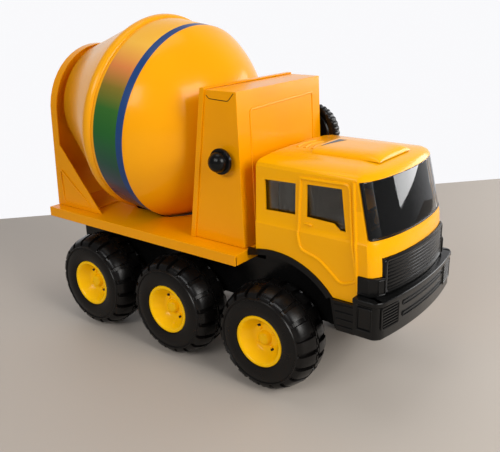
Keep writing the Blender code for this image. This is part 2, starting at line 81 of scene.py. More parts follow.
class Socket:
    """A shader value. Arithmetic on it adds Math nodes, and make() adds any other node."""

    def __init__(self, tree, out):
        self.tree, self.out = tree, out

    def make(self, kind, settings=None, sockets=None, outlet=0):
        node = self.tree.nodes.new(kind)
        for key, value in (settings or {}).items():
            setattr(node, key, value)
        for key, value in (sockets or {}).items():
            if isinstance(value, Socket):
                self.tree.links.new(value.out, node.inputs[key])
            else:
                node.inputs[key].default_value = value
        return Socket(self.tree, node.outputs[outlet])

    def maths(self, operation, first, second):
        return self.make("ShaderNodeMath", {"operation": operation}, {0: first, 1: second})

    def __add__(self, other):
        return self.maths("ADD", self, other)

    def __radd__(self, other):
        return self.maths("ADD", other, self)

    def __sub__(self, other):
        return self.maths("SUBTRACT", self, other)

    def __rsub__(self, other):
        return self.maths("SUBTRACT", other, self)

    def __mul__(self, other):
        return self.maths("MULTIPLY", self, other)

    def __rmul__(self, other):
        return self.maths("MULTIPLY", other, self)

    def __truediv__(self, other):
        return self.maths("DIVIDE", self, other)

    def __rtruediv__(self, other):
        return self.maths("DIVIDE", other, self)

    def over(self, edge, soft):
        """0 below the edge and 1 above it, with a soft change."""
        return self.make("ShaderNodeMapRange", {"interpolation_type": "SMOOTHSTEP"}, {
            "Value": self, "From Min": edge - soft, "From Max": edge + soft})

    def mix(self, first, second):
        """The first colour where this is 0 and the second where it is 1."""
        first, second = (colour if isinstance(colour, Socket) else (*colour, 1)
                         for colour in (first, second))
        return self.make("ShaderNodeMix", {"data_type": "RGBA"}, {0: self, 6: first, 7: second}, 2)

    def noise(self, scale, detail=2.0):
        return self.make("ShaderNodeTexNoise", None,
                         {"Vector": self, "Scale": scale, "Detail": detail})

    def dot(self, point, direction):
        """Distance of this position from a point, along a direction."""
        moved = self.make("ShaderNodeVectorMath", {"operation": "SUBTRACT"}, {0: self, 1: point})
        return self.make("ShaderNodeVectorMath", {"operation": "DOT_PRODUCT"},
                         {0: moved, 1: direction}, "Value")


def lamp(name, at, target, size, watts, tint=(1, 1, 1)):
    """A large flat lamp at a place, turned to its target."""
    light = bpy.data.lights.new(name, "AREA")
    light.shape = "RECTANGLE"
    light.size, light.size_y = size
    light.energy = watts
    light.color = tint
    stand = bpy.data.objects.new(name, light)
    stand.location = at
    stand.rotation_euler = (Vector(target) - Vector(at)).to_track_quat("-Z", "Y").to_euler()
    bpy.context.scene.collection.objects.link(stand)


lamp("ceiling", (-0.1, 0.0, 1.6), (0, 0, 0.1), (0.9, 0.7), 3.5)
lamp("window", (1.45, -0.2, 0.85), (0.1, 0, 0.15), (0.8, 0.8), 19, (1.0, 0.98, 0.95))
lamp("side", (0.1, -1.55, 1.05), (0, 0, 0.15), (1.0, 0.6), 13)
lamp("glint", (0.66, 1.11, 0.40), (0.19, 0.0, 0.19), (0.9, 0.5), 8)
sky = bpy.data.worlds.new("sky")
sky.use_nodes = True
tree = sky.node_tree
toward = Socket(tree, tree.nodes.new("ShaderNodeTexCoord").outputs["Generated"]).dot((0, 0, 0), SKY_FAR)
fade = toward.make("ShaderNodeMapRange", None, {
    "Value": toward, "From Min": 0.3, "From Max": 0.85, "To Min": 0.22, "To Max": 0.97})
tree.links.new(fade.out, tree.nodes["Background"].inputs["Strength"])
tree.nodes["Background"].inputs["Color"].default_value = (0.98, 0.98, 1.0, 1)
bpy.context.scene.world = sky


# ------------------------------------------------------------------ bed
# The flat bed is one sheet of steel with its four sides folded down, in glossy amber
# enamel that gathers a little in places. Its folds are round.

def material(name, colour, roughness, coat=0.0, metallic=0.0, shine=0.3):
    """A plain Principled material, its shader and its position socket."""
    made = bpy.data.materials.new(name)
    made.use_nodes = True
    shader = made.node_tree.nodes["Principled BSDF"]
    for key, value in (("Base Color", (*colour, 1)), ("Roughness", roughness),
                       ("Metallic", metallic), ("Specular IOR Level", shine),
                       ("Coat Weight", coat), ("Coat Roughness", 0.06)):
        shader.inputs[key].default_value = value
    place = made.node_tree.nodes.new("ShaderNodeTexCoord")
    return made, shader, Socket(made.node_tree, place.outputs["Object"])


def feed(shader, key, value):
    """Links a value to one of the shader's sockets."""
    value.tree.links.new(value.out, shader.inputs[key])


def ripple(shader, height, distance):
    """Has a height ripple the shader's surface."""
    feed(shader, "Normal", height.make("ShaderNodeBump", None, {
        "Height": height, "Distance": distance, "Strength": 1.0}))


def glossy(name, colour, deep, roughness, coat, shine):
    """Enamel or moulded plastic: a cloudy change of tone and gloss over a faint ripple."""
    made, shader, place = material(name, colour, roughness, coat, shine=shine)
    feed(shader, "Base Color", place.noise(9.0).over(0.55, 0.2).mix(colour, deep))
    feed(shader, "Roughness", place.noise(70.0) * 0.08 + (roughness - 0.04))
    ripple(shader, place.noise(160.0, 1.0), 0.04 * MM)
    return made


def finish(name, vertices, faces, look, body, nodes=(), slot=None, smooth=35):
    """Adds a mesh as a piece: turns it right side out, smooths it and has it ride its body."""
    vertices = (np.asarray(vertices, float) + (AXLE_X, 0, 0)) * MM
    mesh = bpy.data.meshes.new(name)
    mesh.from_pydata(vertices.tolist(), [], [list(map(int, f)) for f in faces])
    shape = bmesh.new()
    shape.from_mesh(mesh)
    bmesh.ops.remove_doubles(shape, verts=shape.verts, dist=0.004 * MM)
    if shape.calc_volume(signed=True) < 0:
        bmesh.ops.reverse_faces(shape, faces=shape.faces)
    shape.to_mesh(mesh)
    shape.free()
    place_piece(name, mesh, look, body, nodes, smooth)


def place_piece(name, mesh, look, body, nodes, smooth):
    """Puts a mesh in the scene with its material, and says what it rides and replaces."""
    mesh.materials.clear()
    mesh.materials.append(look)
    piece = bpy.data.objects.new(name, mesh)
    bpy.context.scene.collection.objects.link(piece)
    mesh.polygons.foreach_set("use_smooth", [True] * len(mesh.polygons))
    mesh.set_sharp_from_angle(angle=math.radians(smooth))
    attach(piece, body)
    if nodes:
        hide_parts(*nodes)
    return piece


def softened(node, name, look, radius, segments=2, angle=32):
    """A copy of a CAD piece with its flat faces made whole and its edges rounded."""
    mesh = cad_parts[node].data.copy()
    shape = bmesh.new()
    shape.from_mesh(mesh)
    bmesh.ops.remove_doubles(shape, verts=shape.verts, dist=0.001 * MM)
    bmesh.ops.dissolve_limit(shape, angle_limit=math.radians(1), verts=shape.verts,
                             edges=shape.edges)
    shape.to_mesh(mesh)
    shape.free()
    piece = place_piece(name, mesh, look, "truck", [node], angle)
    edge = piece.modifiers.new("rounded", "BEVEL")
    edge.width = radius * MM
    edge.segments = segments
    edge.limit_method = "ANGLE"
    edge.angle_limit = math.radians(angle)
    edge.harden_normals = True
    return piece


enamel = glossy("amber_enamel", (0.88, 0.345, 0.0), (0.82, 0.30, 0.0), 0.22, 0.06, shine=0.16)
softened("bed_deck", "bed_sheet", enamel, 1.3, segments=3)


# ------------------------------------------------------------------ rear bracket
# An arch of pressed steel that carries the drum's neck. A triangle is embossed in each
# gusset, drawn here as a low ridge along its outline.
GUSSET_RIDGE = [(-290, 170), (-240, 132.5), (-287, 132.5)]    # x and z on the bracket's side
BRACKET_SIDE = 74.0
SIDES = (("right", -1), ("left", 1))
RIDGE_STEPS = 8         # points round the section of a ridge


def grid(points, closed_u=False, closed_v=False):
    """Vertices and quads of points P(u, v) on a grid, joined round where closed."""
    u, v = points.shape[:2]
    index = np.arange(u * v).reshape(u, v)
    if closed_u:
        index = np.vstack([index, index[:1]])
    if closed_v:
        index = np.hstack([index, index[:, :1]])
    quads = np.stack([index[:-1, :-1], index[1:, :-1], index[1:, 1:], index[:-1, 1:]], -1)
    return points.reshape(-1, 3), quads.reshape(-1, 4)


def joined(parts):
    """One list of vertices and faces from several."""
    vertices, faces, count = [], [], 0
    for points, quads in parts:
        vertices.append(points)
        faces += [tuple(i + count for i in quad) for quad in np.asarray(quads).tolist()]
        count += len(points)
    return np.vstack(vertices), faces


def ridge(path, normal, wide, high, closed=False):
    """A ridge along a path: P(t) + wide cos(a) S(t) + high sin(a) N(t), S = N x tangent."""
    path, normal = np.asarray(path, float), np.asarray(normal, float)
    normal = np.broadcast_to(normal, path.shape)
    if closed:
        tangent = np.roll(path, -1, 0) - np.roll(path, 1, 0)
    else:
        tangent = np.gradient(path, axis=0)
    side = np.cross(normal, tangent)
    side /= np.linalg.norm(side, axis=1)[:, None]
    a = np.arange(RIDGE_STEPS) * 2 * np.pi / RIDGE_STEPS
    rings = (path[:, None] + wide / 2 * np.cos(a)[None, :, None] * side[:, None]
             + high * np.sin(a)[None, :, None] * normal[:, None])
    if not closed:
        rings = np.concatenate([path[:1, None].repeat(RIDGE_STEPS, 1), rings,
                                path[-1:, None].repeat(RIDGE_STEPS, 1)])
    return grid(rings, closed_u=closed, closed_v=True)


def eased(corners, radius, closed=True):
    """Straight lines with rounded corners: corner + near (1 - t)^2 + far t^2 at each corner."""
    corners = np.asarray(corners, float)
    count, found = len(corners), []
    for i, corner in enumerate(corners):
        if not closed and i in (0, count - 1):
            found.append(corner[None])
            continue
        before, after = corners[i - 1] - corner, corners[(i + 1) % count] - corner
        near = [arm / np.linalg.norm(arm) * min(radius, np.linalg.norm(arm) / 2)
                for arm in (before, after)]
        t = np.linspace(0, 1, 5)[:, None]
        found.append(corner + near[0] * (1 - t) ** 2 + near[1] * t ** 2)
    return np.vstack(found)


softened("drum_bracket", "bracket_arch", enamel, 0.4)
for side, sign in SIDES:
    path = eased([(x, sign * BRACKET_SIDE, z) for x, z in GUSSET_RIDGE], 4)
    finish(f"gusset_ridge_{side}", *ridge(path, (0, sign, 0), 2.0, 0.7, closed=True),
           enamel, "truck", slot="steel_yellow")

# ------------------------------------------------------------------ drive housing
# A folded hood and its back plate hide the drum's gears. The front carries a large
# embossed panel and each side a folded tab at its top, whose gap is a dark strip of painted shade.
HOOD_FOOT, HOOD_TOP = (-32.8, 128.0), (-38.8, 271.8)      # x and z of the hood's front face
HOOD_SIDE = 67.9
PANEL = [(-49, 134), (-49, 254), (54, 257), (54, 134)]    # y and z of the embossed panel
TAB_OUTLINE = [(-73, 267), (-70, 264), (-48, 263), (-41.5, 270.3)]    # x and z


def hood_front(y, z):
    """A point of the hood's leaning front face."""
    up = (z - HOOD_FOOT[1]) / (HOOD_TOP[1] - HOOD_FOOT[1])
    return HOOD_FOOT[0] + (HOOD_TOP[0] - HOOD_FOOT[0]) * up, y, z


softened("drum_housing", "hood", enamel, 0.7)
softened("housing_back_plate", "hood_back", enamel, 0.5)
panel = eased([hood_front(y, z) for y, z in PANEL], 3)
finish("hood_panel_ridge", *ridge(panel, (1, 0, 0.04), 2.4, 0.9, closed=True), enamel, "truck",
       slot="steel_yellow")
# The dark strip along each tab's outline is painted shade, standing for the shadow in the fold's gap.
gap_shade, shader, place = material("fold_gap_painted_shade", (0.05, 0.018, 0.002), 0.6, shine=0.1)
feed(shader, "Base Color", place.noise(200.0).mix((0.04, 0.014, 0.001), (0.07, 0.025, 0.002)))
for side, sign in SIDES:
    path = eased([(x, sign * HOOD_SIDE, z) for x, z in TAB_OUTLINE], 2, closed=False)
    finish(f"hood_tab_gap_shade_{side}", *ridge(path, (0, sign, 0), 0.8, 0.15), gap_shade, "truck")

# ------------------------------------------------------------------ drum
# Two spun steel shells meet behind a printed band, where a round rib runs, and the rear one
# narrows to an open neck. s counts rearward along the axis from the band's front edge.
DRUM_TILT = math.radians(8)
DRUM_AXIS = np.array([-math.cos(DRUM_TILT), 0, math.sin(DRUM_TILT)])
DRUM_UP = np.array([math.sin(DRUM_TILT), 0, math.cos(DRUM_TILT)])
SHAFT_CROSSING, BAND_AT = np.array([-52.4, 0, 208.3]), 99.4     # where the axis passes the shaft
DRUM_START = SHAFT_CROSSING + BAND_AT * DRUM_AXIS
BAND_FRONT_R, BAND_REAR_R, SEAM, NOSE = 102.4, 103.0, 44.0, 60.0
RIB_AT, RIB_HALF, RIB_R, RIB_FOOT_R = 50.0, 5.8, 105.9, 101.6
CONE_END, CONE_R, NECK_R, NECK_END, WALL = 139.0, 61.0, 44.0, 146.0, 1.5
STRIPE_END, PRINT_END = 9.0, 40.5
AMBER, AMBER_DEEP, AMBER_CONE = (0.90, 0.37, 0.002), (0.85, 0.33, 0.001), (0.86, 0.36, 0.006)
STRIPE_BLUE = (0.016, 0.052, 0.175)
BAND_COLOURS = [    # height in radii and colour, from the foot of the band to its top
    (-1.0, (0.075, 0.040, 0.050)), (-0.62, (0.060, 0.042, 0.090)), (-0.30, (0.020, 0.075, 0.050)),
    (0.0, (0.018, 0.115, 0.025)), (0.25, (0.035, 0.130, 0.022)), (0.44, (0.200, 0.150, 0.020)),
    (0.62, (0.620, 0.200, 0.055)), (0.82, (0.820, 0.440, 0.060)), (1.0, (0.86, 0.40, 0.010))]


def turned(profile, start, axis, up, steps=128, closed=False):
    """A surface of revolution: start + s axis + r (cos a up + sin a side) for (s, r) pairs."""
    s, r = np.asarray(profile, float).T
    a = np.linspace(0, 2 * np.pi, steps, endpoint=False)
    side = np.cross(axis, up)
    around = np.cos(a)[:, None] * up + np.sin(a)[:, None] * side
    points = start + s[:, None, None] * axis + r[:, None, None] * around[None]
    return grid(points, closed_u=closed, closed_v=True)


# the bowl's dome: radius = front radius (1 - k^1.09)^0.35 at k noses ahead of the band
bowl = [(-NOSE * k, BAND_FRONT_R * (1 - k ** 1.09) ** 0.35)
        for k in np.sin(np.linspace(math.pi / 2, 0, 40))]
bowl += [(SEAM - 0.3, BAND_REAR_R), (SEAM - 0.3, BAND_REAR_R - WALL), (0, BAND_FRONT_R - WALL)]
a = np.linspace(-math.pi / 2, math.pi / 2, 11)
rib = list(zip(RIB_AT + RIB_HALF * np.sin(a),
               BAND_REAR_R - 0.3 + (RIB_R - BAND_REAR_R + 0.3) * np.cos(a)))
cone = [(SEAM, BAND_REAR_R - 0.1)] + rib + [
    (RIB_AT + 8, RIB_FOOT_R), (CONE_END - 3, CONE_R + 1.2), (CONE_END - 1, CONE_R - 0.6),
    (CONE_END, CONE_R - 3), (CONE_END + 1.6, NECK_R + 3), (CONE_END + 2.6, NECK_R)]
neck = [(NECK_END - 0.8, NECK_R), (NECK_END, NECK_R - 0.7), (NECK_END - 0.8, NECK_R - WALL)]
inside = [(s - 0.4, r - WALL) for s, r in cone[::-1] if r > NECK_R]

steel_drum, shader, place = material("drum_enamel", (0.88, 0.37, 0.0), 0.22, 0.08, shine=0.16)
band_middle = tuple((DRUM_START + (AXLE_X, 0, 0)) * MM)
along = place.dot(band_middle, tuple(DRUM_AXIS)) / MM
height = place.dot(band_middle, tuple(DRUM_UP)) / (BAND_REAR_R * MM)
beside = place.dot(band_middle, (0, 1, 0)) / (BAND_REAR_R * MM)
outside = (height * height + beside * beside).over(0.98, 0.003)     # 0 on the shells' inner faces
band = BAND_COLOURS[0][1]
for (low, _), (high, colour) in zip(BAND_COLOURS, BAND_COLOURS[1:]):
    band = height.make("ShaderNodeMapRange", None, {
        "Value": height, "From Min": low, "From Max": high}).mix(band, colour)
plain = place.noise(8.0).over(0.55, 0.2).mix(AMBER, AMBER_DEEP)
printed = along.over(0.0, 0.15).mix(plain, STRIPE_BLUE)
printed = outside.mix(plain, along.over(STRIPE_END, 0.15).mix(printed, band))
feed(shader, "Base Color", along.over(PRINT_END, 0.15).mix(printed, AMBER_CONE))
feed(shader, "Roughness", place.noise(50.0) * 0.08 + 0.18)
ripple(shader, place.noise(60.0, 1.0), 0.05 * MM)

finish("drum_bowl", *turned(bowl, DRUM_START, DRUM_AXIS, DRUM_UP), steel_drum, "drum",
       ["drum_front_bowl"], "drum_amber", smooth=50)
finish("drum_cone", *turned(cone + neck + inside, DRUM_START, DRUM_AXIS, DRUM_UP, closed=True),
       steel_drum, "drum", ["drum_rear_cone"], "drum_amber", smooth=50)

# ------------------------------------------------------------------ crank
# A black plastic hand wheel on the left and a knob on the right turn the drum through a
# steel shaft. The wheel's rim is scalloped for the fingers.
CRANK = np.array([-52.4, 0, 210.0])
UP = np.array([0, 0, 1.0])
SCALLOPS = 36
WHEEL_RINGS = [    # distance from the truck's middle, radius and how deep the scallops are
    (74.0, 9.0, 0), (74.0, 21.5, 0), (75.2, 22.5, 0), (75.2, 24.5, 0), (74.0, 25.5, 0),
    (74.0, 28.6, 0), (74.8, 30.6, 0.6), (75.6, 31.2, 1.0), (82.4, 31.2, 1.0), (83.2, 30.6, 0.6),
    (84.0, 28.6, 0), (84.0, 25.5, 0), (79.0, 24.0, 0), (78.4, 10.0, 0), (81.0, 8.0, 0), (81.0, 0, 0)]
KNOB = [    # distance from the truck's middle and radius of the knob's stem and collar
    (69.4, 0), (69.4, 6.0), (73.2, 6.0), (73.6, 11.6), (74.1, 12.0), (76.5, 12.0), (77.1, 11.3),
    (77.2, 9.4), (79.4, 9.3)]
BALL_LONG, BALL_R = 8.0, 9.3

black = glossy("black_plastic", (0.003, 0.003, 0.003), (0.005, 0.005, 0.005), 0.23, 0.0, shine=0.2)
y, r, deep = np.array(WHEEL_RINGS).T[:, :, None]
a = np.linspace(0, 2 * np.pi, SCALLOPS * 8, endpoint=False)[None]
r = r - deep * (0.5 + 0.5 * np.cos(SCALLOPS * a)) ** 2
wheel = np.stack([CRANK[0] + r * np.cos(a), y + 0 * a, CRANK[2] + r * np.sin(a)], -1)
hub = turned([(69.4, 0), (69.4, 9), (74.0, 9)], CRANK, np.array([0, 1.0, 0]), UP, SCALLOPS * 8)
finish("scalloped_wheel", *joined([grid(wheel, closed_v=True), hub]), black, "crank",
       ["hand_wheel"], "black_plastic", smooth=28)
ball = [(KNOB[-1][0] + BALL_LONG * math.sin(t), BALL_R * math.cos(t))
        for t in np.linspace(0.1, math.pi / 2, 12)]
finish("ball_knob", *turned(KNOB + ball, CRANK, np.array([0, -1.0, 0]), UP, 64), black, "crank",
       ["turning_knob"], "black_plastic")

# ------------------------------------------------------------------ cab
# The cab is one bright yellow moulding with rounded edges. The door's outline, the front
# pillar and the handle stand out of its side, and a domed hatch out of its roof. A black
# wedge at the hatch's rear is painted shade, for the shadow in a recess there.
lemon = glossy("cab_plastic", (0.92, 0.405, 0.0), (0.87, 0.365, 0.0), 0.22, 0.06, shine=0.16)
softened("cab_shell", "cab", lemon, 0.55)
SIDE_HALF = [(100, 68.4), (157, 68.4), (159, 67.4), (185, 67.0), (208, 66.4)]   # z, half width
DOOR = [(28, 204.5), (75, 205.5), (79, 159), (85, 124), (70, 118), (62, 125), (48, 136), (29, 141),
        (26, 154), (26.5, 160)]
PILLAR = [(78.5, 208), (82.5, 160), (86, 116)]
HANDLE = [(33, 165.2), (34.5, 165.4), (39, 165.0), (40.5, 164.4)]
ROOF_Z = 217.6
HATCH_REAR, HATCH_BEND, HATCH_FRONT, HATCH_HALF, HATCH_Z = 16.0, 60.0, 82.0, 30.0, 217.2
SLOT_RIGHT, SLOT_LEFT, SLOT_REAR = -21, 12, 19


def on_cab_side(path, sign):
    """Puts x and z pairs on the cab's side, following its half width."""
    x, z = np.asarray(path, float).T
    return np.stack([x, sign * np.interp(z, *np.array(SIDE_HALF).T), z], -1)


def subdivided(path, step):
    """More points along a path, no further apart than a step."""
    path = np.asarray(path, float)
    found = [path[:1]]
    for first, last in zip(path, path[1:]):
        count = max(1, int(math.ceil(np.linalg.norm(last - first) / step)))
        found.append(first + (last - first) * np.arange(1, count + 1)[:, None] / count)
    return np.vstack(found)


for side, sign in SIDES:
    door = subdivided(eased(DOOR + DOOR[:1], 5, closed=False), 4)[:-1]
    ridges = [ridge(on_cab_side(door, sign), (0, sign, 0), 3.0, 1.4, closed=True),
              ridge(on_cab_side(subdivided(PILLAR, 4), sign), (0, sign, 0), 3.0, 1.4),
              ridge(on_cab_side(HANDLE, sign), (0, sign, 0), 2.4, 1.4)]
    finish(f"door_ridges_{side}", *joined(ridges), lemon, "truck", slot="cab_yellow")


def hatch(x, y, lift=0.0):
    """The roof hatch: z = 217.2 + h sqrt(1 - (y / 30)^4) sqrt(1 - f^4), h from 5.6 to 6.6.

    f is how far x lies along the front bend, and h rises from the rear to the front.
    """
    rise = 5.6 + (x - HATCH_REAR) / (HATCH_FRONT - HATCH_REAR)
    along_bend = np.clip(x - HATCH_BEND, 0, None) / (HATCH_FRONT - HATCH_BEND)
    across = np.sqrt(np.clip(1 - (y / HATCH_HALF) ** 4, 0, 1))
    fall = np.sqrt(np.clip(1 - along_bend ** 4, 0, 1))
    return np.stack([x, y, HATCH_Z + rise * across * fall + lift], -1)


bend = HATCH_FRONT - HATCH_BEND
x, y = np.meshgrid(
    HATCH_BEND + bend * np.append(np.linspace(-2, -0.1, 12), np.sin(np.linspace(0, math.pi / 2, 16))),
    HATCH_HALF * np.sin(np.linspace(-math.pi / 2, math.pi / 2, 41)), indexing="ij")
cover = hatch(x, y)
rear_wall = cover[:1] * (1, 1, 0) + (0, 0, HATCH_Z - 0.2)
finish("roof_hatch", *grid(np.concatenate([rear_wall, cover])), lemon, "truck", slot="cab_yellow")
# A black wedge lying just over the hatch's rear is painted shade, for the shadow of a recess there.
y, k = np.meshgrid(np.linspace(SLOT_RIGHT, SLOT_LEFT, 12), np.linspace(0, 1, 4), indexing="ij")
slot_shade = hatch(SLOT_REAR + 0.25 * (y - SLOT_RIGHT) * k, y, 0.12)
finish("roof_slot_painted_shade", *grid(slot_shade), black, "truck", slot="black_plastic")
ribs = [ridge(eased([(x, -16, ROOF_Z), (x - 4, 0, ROOF_Z), (x, 16, ROOF_Z)], 12, closed=False),
              (0, 0, 1), 3.6, 0.7) for x in (-9.0, -1.0, 7.0)]
finish("roof_ribs", *joined(ribs), lemon, "truck", slot="cab_yellow")

# ------------------------------------------------------------------ cab glazing and cabin
# Clear plastic panes push into the cab from inside, with a black seal round the windscreen.
# Seats, dashboard and floor are one black colour.
glass = bpy.data.materials.new("clear_plastic")
glass.use_nodes = True
tree = glass.node_tree
tree.nodes.remove(tree.nodes["Principled BSDF"])
facing = Socket(tree, tree.nodes.new("ShaderNodeFresnel").outputs[0])
shine = facing.make("ShaderNodeBsdfGlossy", None, {"Color": (1, 1, 1, 1), "Roughness": 0.03})
through = facing.make("ShaderNodeBsdfTransparent", None, {"Color": (0.72, 0.73, 0.72, 1)})
pane = facing.make("ShaderNodeMixShader", None, {0: facing, 1: through, 2: shine})
tree.links.new(pane.out, tree.nodes["Material Output"].inputs["Surface"])
for node in ("windscreen", "side_glazing_right", "side_glazing_left"):
    softened(node, node + "_pane", glass, 0.3, angle=40)
for node in ("cab_floor", "seat_unit", "dashboard", "steering_wheel"):
    softened(node, node + "_moulding", black, 0.4)
SCREEN_LOW, SCREEN_TOP, SCREEN_REACH = 162.0, 208.5, 78      # heights, and degrees to each side
SEAL_PROUD = 0.1
CAB_FRONT = [    # height, half width, x of the corner and how strongly the front bows
    (104, 68.4, 96, 1), (140, 68.4, 94.6, 1), (157, 68.4, 93, 1), (159, 67.4, 92.4, 1),
    (185, 67, 86.9, 0.94), (209, 66.4, 81.6, 0.88)]


def cab_front(z):
    """A level line on the cab's front: corner + 17 bow cos a ahead, half width sin a aside."""
    levels = np.array(CAB_FRONT)
    a = np.radians(np.linspace(-SCREEN_REACH, SCREEN_REACH, 41))
    half, corner, bow = (np.interp(z, levels[:, 0], levels[:, i]) for i in (1, 2, 3))
    return np.stack([corner + (17 * bow + SEAL_PROUD) * np.cos(a), (half + SEAL_PROUD) * np.sin(a),
                     np.full(len(a), z)], -1)


low, top = cab_front(SCREEN_LOW), cab_front(SCREEN_TOP)
seal = [ridge(low, (0.96, 0, 0.28), 1.6, 0.5)]
for row, sign in ((0, -1), (-1, 1)):
    edge = low[row] + (top[row] - low[row]) * np.linspace(0, 1, 12)[:, None]
    seal.append(ridge(edge, (0.75, 0.66 * sign, 0.2), 3.2, 0.6))
finish("screen_seal", *joined(seal), black, "truck", slot="black_plastic")

# ------------------------------------------------------------------ chassis and axles
# The chassis is a black plastic tray. Plain steel axles run through its sleeves.
bright, shader, place = material("axle_steel", (0.62, 0.62, 0.60), 0.28, metallic=1.0)
feed(shader, "Roughness", place.noise(300.0) * 0.15 + 0.2)
softened("chassis_frame", "chassis_frame_moulding", black, 0.4)
for node in ("axle_front", "axle_middle", "axle_rear", "cross_shaft", "drum_spindle"):
    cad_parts[node].data.materials.clear()
    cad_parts[node].data.materials.append(bright)

# ------------------------------------------------------------------ front mouldings
# Grille, lamps, bumper, steps and arches are moulded in black plastic. Slats, frames and
# ribs stand out as low ridges; the bumper is swept round its plan with a proud top lip.
for node in ("side_step_right", "side_step_left", "fender_right", "fender_left",
             "headlight_right", "headlight_left", "front_grille"):
    softened(node, node + "_moulding", black, 0.5)


def bowed(y, z, nose, bow, half):
    """Points and outward normals on a front that bows back: x = nose - bow (y / half)^2."""
    y, z = np.broadcast_arrays(np.asarray(y, float), np.asarray(z, float))
    normal = np.stack([np.ones_like(y), 2 * bow * y / half ** 2, 0 * y], -1)
    normal /= np.linalg.norm(normal, axis=1)[:, None]
    return np.stack([nose - bow * (y / half) ** 2, y, z], -1), normal


def front_rectangle(y0, y1, z0, z1, radius, *front):
    """A rounded rectangle laid on a bowed front."""
    flat = [(0, y, z) for y, z in ((y0, z0), (y1, z0), (y1, z1), (y0, z1))]
    path = subdivided(np.vstack([eased(flat, radius), eased(flat, radius)[:1]]), 4)[:-1]
    return bowed(path[:, 1], path[:, 2], *front)


def front_line(y0, y1, z, *front):
    """A level line on a bowed front."""
    return bowed(np.linspace(y0, y1, 25), z, *front)


GRILLE = (112.6, 7.9, 58.5)          # nose, how far it bows back and over what half width
GRILLE_FRAME = (-56.5, 56.5, 115.4, 144.2)      # y and z limits
parts = [ridge(*front_rectangle(*GRILLE_FRAME, 3, *GRILLE), 3.6, 1.4, closed=True)]
parts += [ridge(*front_line(-53.5, 53.5, z, *GRILLE), 1.9, 1.0) for z in np.arange(119.4, 141.8, 3.15)]
finish("grille_slats", *joined(parts), black, "truck", slot="black_plastic")

LAMP_OUTER, LAMP_INNER = (103.2, 65.5), (106.6, 59.0)     # x and |y| of the lamp's front
LAMP_LOW, LAMP_TOP = 115.2, 128.0
LAMP_SIDE = [(87.6, 114.8), (96.4, 114.8), (96.4, 128.2), (87.6, 128.2)]     # x and z
LAMP_SIDE_Y, STEP_SIDE_Y = 69.6, 72.0
STEP_REAR, STEP_FRONT, STEP_TOP, STEP_LEAN = 65.6, 85.0, 103.6, 4.8 / 27.6     # the rear edge leans
for side, sign in SIDES:
    outer, inner = (np.array([x, sign * y, 0]) for x, y in (LAMP_OUTER, LAMP_INNER))
    across = inner - outer
    facing_out = np.cross((0, 0, sign), across) / np.linalg.norm(across)
    start = outer + 0.12 * across
    corners = [point + (0, 0, z) for point, z in (
        (start, LAMP_LOW), (inner, LAMP_LOW), (inner, LAMP_TOP), (start, LAMP_TOP))]
    parts = [ridge(eased(corners, 0.8), facing_out, 1.3, 0.8, closed=True),
             ridge(eased([(x, sign * LAMP_SIDE_Y, z) for x, z in LAMP_SIDE], 0.8), (0, sign, 0),
                   1.0, 0.35, closed=True)]
    for z in (81.0, 87.6, 94.2, 100.8):
        x = np.linspace(STEP_REAR + (STEP_TOP - z) * STEP_LEAN, STEP_FRONT, 6)
        line = np.stack([x, np.full(6, sign * STEP_SIDE_Y), np.full(6, z)], -1)
        parts.append(ridge(line, (0, sign, 0), 1.8, 0.8))
    finish(f"lamp_and_step_ribs_{side}", *joined(parts), black, "truck", slot="black_plastic")

BUMPER_HALF, BUMPER_NOSE, BUMPER_BOW = 77.0, 119.0, 8.5
BUMPER_SECTION = [    # how far in from the outline, height
    (3.4, 78.0), (2.0, 78.4), (1.6, 79.4), (1.4, 107.4), (0.9, 108.4), (0.2, 108.9), (0, 109.6),
    (0, 112.2), (0.4, 112.8), (1.2, 113.0), (17, 113.0), (17, 110.5), (4.2, 110.5), (4.2, 78.0)]


def bumper_outline(inset, z):
    """The bumper's plan at a height: square sides, cut corners and a bowed front."""
    half, nose = BUMPER_HALF - inset, BUMPER_NOSE - inset
    y = np.linspace(-70, 0, 15)
    bow = np.stack([nose - BUMPER_BOW * (y / BUMPER_HALF) ** 2, y], -1)
    corner = eased([(86.4, -half, 0), (107.6 - inset, -half, 0), (bow[0, 0], bow[0, 1], 0)], 3.0,
                   closed=False)[:, :2]
    right = np.vstack([corner, bow[1:]])
    plan = np.vstack([right, right[-2::-1] * (1, -1)])
    return np.column_stack([plan, np.full(len(plan), z)])


shell = np.stack([bumper_outline(inset, z) for inset, z in BUMPER_SECTION])
vertices, faces = grid(shell, closed_u=True)
ring = np.arange(len(shell)) * shell.shape[1]
caps = [ring[::-1].tolist(), (ring + shell.shape[1] - 1).tolist()]
finish("bumper_sweep", vertices, faces.tolist() + caps, black, "truck", ["front_bumper"],
       "black_plastic", smooth=30)
FACE = (BUMPER_NOSE - 1.4, BUMPER_BOW, BUMPER_HALF)
FOG_INNER, FOG_OUTER, FOG_LOW, FOG_TOP = 47.5, 70.5, 87.5, 106.6
BUMPER_SIDE = [(90.5, 85.5), (103.5, 85.5), (103.5, 105.5), (90.5, 105.5)]     # x and z
BUMPER_SLOTS, SLOT_HALF_WIDE, SLOT_HALF_HIGH = (92.0, 102.5), 41, 1.7
parts = []
for _, sign in SIDES:
    low, high = sorted((sign * FOG_OUTER, sign * FOG_INNER))
    parts.append(ridge(*front_rectangle(low, high, FOG_LOW, FOG_TOP, 1.5, *FACE), 2.0, 0.7, closed=True))
    parts += [ridge(*front_line(low + 1.5, high - 1.5, z, *FACE), 1.5, 0.6)
              for z in np.arange(90.4, 105.5, 2.7)]
    side_panel = [(x, sign * (BUMPER_HALF - 1.4), z) for x, z in BUMPER_SIDE]
    parts.append(ridge(eased(side_panel, 1), (0, sign, 0), 1.6, 0.9, closed=True))
